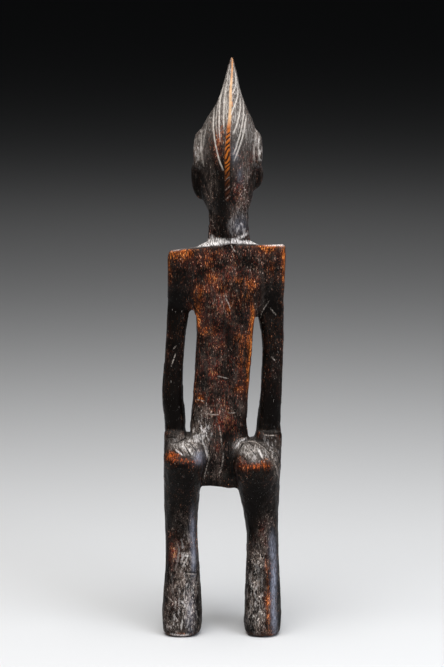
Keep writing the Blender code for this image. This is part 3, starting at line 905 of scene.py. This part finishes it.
def rubbed_wood(graph, noises, color):
    """Red and orange where the wood is rubbed, broken by patches of olive black."""
    rust = graph.times(graph.mask("red"), graph.ramp(noises["blotch"], 0.44, 0.60, 0.1, 0.75))
    color = graph.mix(rust, color, RED_GROUND)
    rust = graph.times(graph.mask("orange"), graph.ramp(noises["clouds"], 0.4, 0.6, 0.35, 0.9))
    color = graph.mix(rust, color, ORANGE_GROUND)
    color = graph.mix(graph.cover("red", noises["short"], 0.15, 0.62, 0.70), color, RED_SPECKS)
    color = graph.mix(graph.cover("orange", noises["cross"], 0.15, 0.62, 0.69), color, ORANGE_SPECKS)
    ochre = graph.mix(graph.mask("fire"), OCHRE_SPECKS, FIRE_SPECKS)
    color = graph.mix(graph.cover("orange", noises["short"], 0.11, 0.645, 0.705), color, ochre)
    color = graph.mix(graph.cover("red", noises["strokes"], 0.13, 0.70, 0.75), color, STRAW_SPECKS)
    return graph.mix(graph.ramp(noises["bark"], 0.52, 0.58, 0.0, 0.6), color, OLIVE_PATCHES)


def dusty_wood(graph, noises, flecks, color):
    """Grey flecks and chalky dust in ever smaller and paler marks, on lighter and darker wood."""
    color = graph.mix(graph.times(flecks, 0.5, graph.without("fire")), color, GREY_FLECKS)
    clear = graph.without("orange")
    dust = graph.times(graph.mask("chalk"), graph.ramp(noises["bark"], 0.40, 0.58))
    color = graph.mix(graph.times(dust, 0.85), color, DUST_GROUND)
    dust = graph.times(dust, graph.ramp(noises["strokes"], 0.46, 0.60), clear)
    color = graph.mix(dust, color, DUST_STREAKS)
    dust = graph.times(graph.cover("chalk", noises["cross"], 0.10, 0.65, 0.72), clear)
    color = graph.mix(dust, color, DUST_SPECKS)
    dust = graph.times(graph.cover("chalk", noises["short"], 0.09, 0.68, 0.74), clear)
    color = graph.mix(dust, color, CHALK_SPECKS)
    color = graph.scaled(color, graph.ramp(noises["grit"], 0.38, 0.64, 0.6, 1.4))
    return graph.scaled(color, graph.ramp(noises["blotch"], 0.38, 0.60, 0.36, 1.4))


def painted_light_and_shade(graph, noises, color):
    """Painted shade, painted highlights where the surface faces up, a painted bluish reflection, and
    knife facets painted in shade and highlight.
    """
    # Painted shade, near black
    shade_amount = graph.times(graph.mask("painted_shade"), graph.ramp(noises["clouds"], 0.25, 0.5, 0.75, 0.97))
    color = graph.mix(shade_amount, color, PAINTED_SHADE_COLOR)
    clear = graph.without("orange")
    # Painted highlight where the surface faces up, with brighter marks and streaks
    painted_highlight = graph.times(graph.mask("painted_highlight"), graph.ramp(noises["fine"], 0.3, 0.6, 0.5, 1.0), clear)
    highlight_tone = graph.mix(graph.ramp(noises["grain"], 0.35, 0.65), HIGHLIGHT_LOW, HIGHLIGHT_COLOR)
    color = graph.mix(painted_highlight, color, highlight_tone)
    bright = graph.times(graph.cover("painted_highlight", noises["strokes"], 0.13, 0.66, 0.74), clear, 0.8)
    color = graph.mix(bright, color, HIGHLIGHT_MARKS)
    # Painted bluish reflection
    painted_reflection = graph.times(graph.mask("painted_reflection"), graph.ramp(noises["strokes"], 0.40, 0.60, 0.3, 1.0))
    color = graph.mix(painted_reflection, color, PAINTED_BLUE_REFLECTION)
    streaks = graph.times(painted_highlight, graph.ramp(noises["strokes"], 0.54, 0.66, 0.0, 0.7))
    color = graph.mix(streaks, color, HIGHLIGHT_STREAKS)
    # The knife facets painted as lit and shaded copies of the wood
    knife = graph.times(graph.mask("knife"), clear)
    shaded = graph.times(knife, graph.ramp(noises["facets"], 0.50, 0.44))
    color = graph.mix(shaded, color, FACET_SHADE)
    lit = graph.times(knife, graph.ramp(noises["facets"], 0.55, 0.60))
    return graph.mix(lit, color, FACET_LIGHT)


def cut_wood(graph, noises, color):
    """Painted highlights on the edges, the crest's keel with its painted highlight and shade and its
    notches, and the grooves, slits and strokes of the knife.
    """
    # Painted highlight on the edges
    edge_highlight = graph.mix(graph.ramp(noises["strokes"], 0.42, 0.54), EDGE_HIGHLIGHT_LOW, EDGE_HIGHLIGHT_COLOR)
    color = graph.mix(graph.mask("edge_highlight"), color, edge_highlight)
    # The keel's orange worn wood, with its painted highlight above and its painted shade below
    ridge = graph.mix(graph.mask("keel_highlight"), KEEL_ORANGE, KEEL_HIGHLIGHT)
    ridge = graph.mix(graph.mask("keel_shade"), ridge, KEEL_SHADE)
    keel = graph.times(graph.mask("keel"), graph.ramp(noises["speck"], 0.3, 0.55, 0.5, 1.0))
    color = graph.mix(keel, color, ridge)
    color = graph.mix(graph.times(graph.mask("notch"), 0.9), color, NOTCH_SHADE)
    # Pale in the grooves: dust, and a painted highlight on their edges
    line = graph.times(graph.mask("line"), graph.ramp(noises["fine"], 0.35, 0.6, 0.55, 1.0))
    color = graph.mix(line, color, GROOVE_DUST_AND_HIGHLIGHT)
    color = graph.mix(graph.times(graph.mask("slit"), 0.9), color, SLIT_SHADE)
    stroke = graph.times(graph.mask("stroke"), graph.ramp(noises["fine"], 0.42, 0.60, 0.05, 0.8))
    return graph.mix(stroke, color, STROKE_DUST)


def patina_and_painted_light():
    """Dark oiled wood with red and orange where it is rubbed, dust and painted highlights in its cuts,
    and painted shade, highlights and a bluish reflection.
    """
    material = bpy.data.materials.new("patina_and_painted_light")
    material.use_nodes = True
    graph = Graph(material)
    shader = graph.nodes["Principled BSDF"]
    noises = {name: graph.texture(*settings) for name, settings in NOISES.items()}
    flecks = graph.ramp(noises["short"], 0.66, 0.73)

    color = rubbed_wood(graph, noises, bare_wood(graph, noises))
    color = painted_light_and_shade(graph, noises, dusty_wood(graph, noises, flecks, color))
    graph.join(cut_wood(graph, noises, color), shader.inputs["Base Color"])

    graph.join(graph.ramp(noises["clouds"], 0.3, 0.7, *ROUGHNESSES), shader.inputs["Roughness"])
    relief = graph.calc("MULTIPLY", noises["speck"], 0.8)
    relief = graph.calc("ADD", relief, graph.calc("MULTIPLY", noises["grain"], 0.6))
    relief = graph.calc("ADD", relief, graph.calc("MULTIPLY", flecks, -0.25))
    bump = graph.nodes.new("ShaderNodeBump")
    bump.inputs["Strength"].default_value = 0.8
    bump.inputs["Distance"].default_value = RELIEF_DEPTH
    graph.join(relief, bump.inputs["Height"])
    graph.join(bump.outputs["Normal"], shader.inputs["Normal"])
    shader.inputs["Specular IOR Level"].default_value = 0.05
    return material


def pale_floor():
    material = bpy.data.materials.new("pale_floor")
    material.use_nodes = True
    shader = material.node_tree.nodes["Principled BSDF"]
    shader.inputs["Base Color"].default_value = FLOOR_COLOR
    shader.inputs["Roughness"].default_value = 0.9
    shader.inputs["Specular IOR Level"].default_value = 0.1
    bpy.ops.mesh.primitive_plane_add(size=FLOOR_SIZE)
    floor = bpy.context.object
    floor.name = "floor"
    floor.data.materials.append(material)


def panel_light(name, place, aim, size, power, color):
    light = bpy.data.lights.new(name, "AREA")
    light.shape = "RECTANGLE"
    light.size, light.size_y = size
    light.energy = power
    light.color = color
    lamp = bpy.data.objects.new(name, light)
    lamp.location = place
    lamp.rotation_euler = (Vector(aim) - Vector(place)).to_track_quat("-Z", "Y").to_euler()
    bpy.context.scene.collection.objects.link(lamp)


def studio():
    """The lights, in a dim room, with colors shown as they are."""
    bpy.context.scene.view_settings.view_transform = "Standard"
    world = bpy.data.worlds.new("studio")
    world.use_nodes = True
    backing = world.node_tree.nodes["Background"]
    backing.inputs["Color"].default_value = ROOM_COLOR
    backing.inputs["Strength"].default_value = ROOM_STRENGTH
    bpy.context.scene.world = world
    for light in LIGHTS:
        panel_light(*light)


def photo_camera():
    """Behind the figure at the photograph's height and distance, with its frame."""
    data = bpy.data.cameras.new("camera")
    data.sensor_fit = "VERTICAL"
    data.sensor_height = 24.0
    data.lens = data.sensor_height * FOCAL_PIXELS / PHOTO_HEIGHT
    camera = bpy.data.objects.new("camera", data)
    away = Vector((0, math.cos(CAMERA_ELEVATION), math.sin(CAMERA_ELEVATION)))
    camera.location = Vector((CAMERA_SIDE, 0, AIM_HEIGHT)) + CAMERA_DISTANCE * away
    down = CAMERA_ELEVATION - math.atan2(AIM_PIXEL_Y - PHOTO_HEIGHT / 2, FOCAL_PIXELS)
    look = Vector((0, -math.cos(down), -math.sin(down)))
    camera.rotation_euler = look.to_track_quat("-Z", "Y").to_euler()
    bpy.context.scene.collection.objects.link(camera)
    bpy.context.scene.camera = camera


photo_camera()
studio()
pale_floor()

piece = bpy.data.objects.new("carved_figure", carved_mesh(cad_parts["figure"]))
bpy.context.scene.collection.objects.link(piece)
piece.data.materials.clear()
piece.data.materials.append(patina_and_painted_light())
piece.data.shade_smooth()
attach(piece, "root")
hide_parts("figure")
